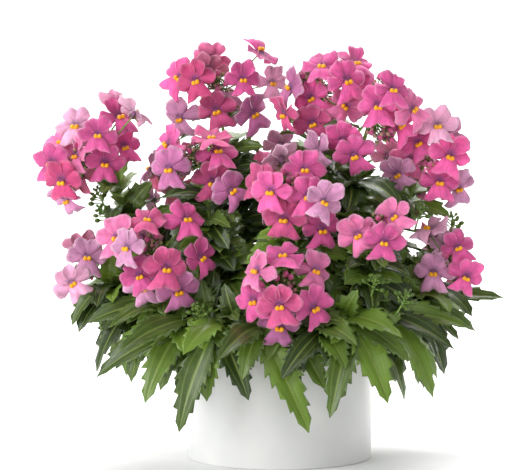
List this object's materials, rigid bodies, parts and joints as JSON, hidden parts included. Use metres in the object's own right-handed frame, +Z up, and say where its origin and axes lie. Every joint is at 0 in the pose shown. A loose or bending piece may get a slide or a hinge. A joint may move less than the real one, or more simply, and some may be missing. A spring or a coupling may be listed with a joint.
{
  "type": "potted nemesia",
  "caption": "Bushy flowering plant with toothed leaves and rounded heads of two-lipped pink blooms, in a plain white round pot",
  "frame": {"origin": "the middle of the pot's flat foot, on the surface it stands on", "axes": "+Z up along the pot's axis; the plant's best side faces -Y; +X to the right seen from there"},
  "size_m": [0.3028, 0.2395, 0.2735],
  "materials": {
    "petal_pink": "soft, slightly velvety petals",
    "leaf_green": "satin, lightly waxed leaf",
    "glazed_white": "smooth satin white glaze",
    "potting_soil": "dark crumbly matt soil"
  },
  "bodies": {
    "root": {"flower_head_far_left": "petal_pink", "flower_head_far_side_1": "petal_pink", "flower_head_far_side_2": "petal_pink", "flower_head_far_side_3": "petal_pink", "flower_head_far_side_4": "petal_pink", "flower_head_far_side_5": "petal_pink", "flower_head_far_side_6": "petal_pink", "flower_head_front": "petal_pink", "flower_head_low_left": "petal_pink", "flower_head_low_right": "petal_pink", "flower_head_mid_left": "petal_pink", "flower_head_mid_right": "petal_pink", "flower_head_middle": "petal_pink", "flower_head_outer_left": "petal_pink", "flower_head_right": "petal_pink", "flower_head_top": "petal_pink", "flower_head_top_left": "petal_pink", "flower_head_top_right": "petal_pink", "leafy_shoot_1": "leaf_green", "leafy_shoot_10": "leaf_green", "leafy_shoot_11": "leaf_green", "leafy_shoot_12": "leaf_green", "leafy_shoot_13": "leaf_green", "leafy_shoot_2": "leaf_green", "leafy_shoot_3": "leaf_green", "leafy_shoot_4": "leaf_green", "leafy_shoot_5": "leaf_green", "leafy_shoot_6": "leaf_green", "leafy_shoot_7": "leaf_green", "leafy_shoot_8": "leaf_green", "leafy_shoot_9": "leaf_green", "leafy_stem_far_left": "leaf_green", "leafy_stem_far_side_1": "leaf_green", "leafy_stem_far_side_2": "leaf_green", "leafy_stem_far_side_3": "leaf_green", "leafy_stem_far_side_4": "leaf_green", "leafy_stem_far_side_5": "leaf_green", "leafy_stem_far_side_6": "leaf_green", "leafy_stem_front": "leaf_green", "leafy_stem_low_left": "leaf_green", "leafy_stem_low_right": "leaf_green", "leafy_stem_mid_left": "leaf_green", "leafy_stem_mid_right": "leaf_green", "leafy_stem_middle": "leaf_green", "leafy_stem_outer_left": "leaf_green", "leafy_stem_right": "leaf_green", "leafy_stem_top": "leaf_green", "leafy_stem_top_left": "leaf_green", "leafy_stem_top_right": "leaf_green", "pot": "glazed_white", "soil": "potting_soil"}
  },
  "joints": []
}
